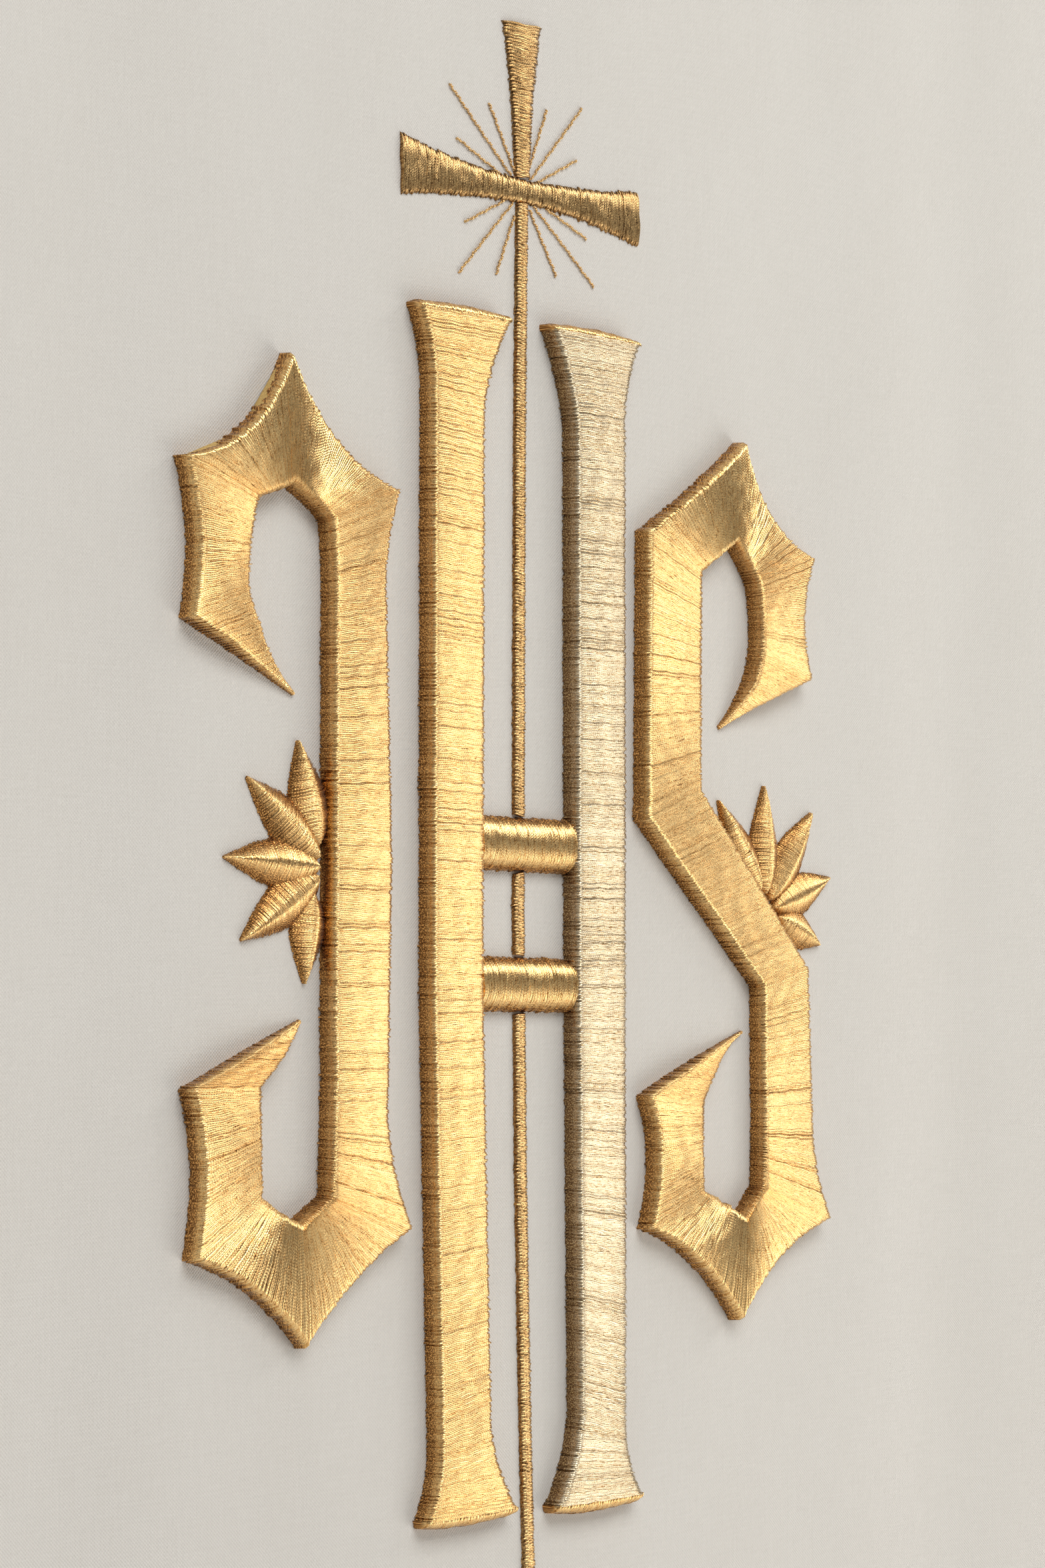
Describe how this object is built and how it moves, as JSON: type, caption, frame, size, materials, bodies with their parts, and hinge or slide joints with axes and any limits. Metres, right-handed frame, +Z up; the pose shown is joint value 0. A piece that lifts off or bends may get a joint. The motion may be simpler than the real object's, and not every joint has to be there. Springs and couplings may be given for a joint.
{
  "type": "chasuble",
  "caption": "Wide sleeveless vestment of ivory cloth hung from the shoulders, with raised gold satin-stitch letters and a rayed cross on the front.",
  "frame": {"origin": "middle of the neck opening, level with the top of the shoulder seams, where the garment rests on the bar or shoulders that hold it up", "axes": "+Z up, the embroidered front faces -Y, +X is to the right of someone looking at the front"},
  "size_m": [0.9968, 0.2564, 1.2],
  "materials": {
    "ivory_cloth": "fine plain weave in ivory, matt, seen white-grey in the shade",
    "gold_satin": "metallised gold thread in close satin stitch, glossy along each thread",
    "foam_padding": "soft yellow craft foam, matt, wholly covered by the stitches",
    "stabiliser": "white non-woven embroidery stabiliser, matt"
  },
  "bodies": {
    "root": {"front_panel": "ivory_cloth", "back_panel": "ivory_cloth", "front_neck_binding": "ivory_cloth", "back_neck_binding": "ivory_cloth", "letter_i_satin": "gold_satin", "letter_i_foam": "foam_padding", "letter_s_satin": "gold_satin", "letter_s_foam": "foam_padding", "h_left_column_satin": "gold_satin", "h_left_column_foam": "foam_padding", "h_right_column_satin": "gold_satin", "h_right_column_foam": "foam_padding", "h_upper_bar_satin": "gold_satin", "h_upper_bar_foam": "foam_padding", "h_lower_bar_satin": "gold_satin", "h_lower_bar_foam": "foam_padding", "h_left_column_top_row": "gold_satin", "h_left_column_foot_row": "gold_satin", "h_right_column_top_row": "gold_satin", "h_right_column_foot_row": "gold_satin", "cross_arms": "gold_satin", "cross_top": "gold_satin", "cross_upper_shaft": "gold_satin", "cross_middle_shaft": "gold_satin", "cross_lower_shaft": "gold_satin", "i_leaf_1": "gold_satin", "s_leaf_1": "gold_satin", "i_leaf_2": "gold_satin", "s_leaf_2": "gold_satin", "i_leaf_3": "gold_satin", "s_leaf_3": "gold_satin", "i_leaf_4": "gold_satin", "s_leaf_4": "gold_satin", "i_leaf_5": "gold_satin", "s_leaf_5": "gold_satin", "cross_ray_1": "gold_satin", "cross_ray_2": "gold_satin", "cross_ray_3": "gold_satin", "cross_ray_4": "gold_satin", "cross_ray_5": "gold_satin", "cross_ray_6": "gold_satin", "cross_ray_7": "gold_satin", "cross_ray_8": "gold_satin", "cross_ray_9": "gold_satin", "cross_ray_10": "gold_satin", "cross_ray_11": "gold_satin", "cross_ray_12": "gold_satin", "embroidery_backing": "stabiliser"}
  },
  "joints": []
}
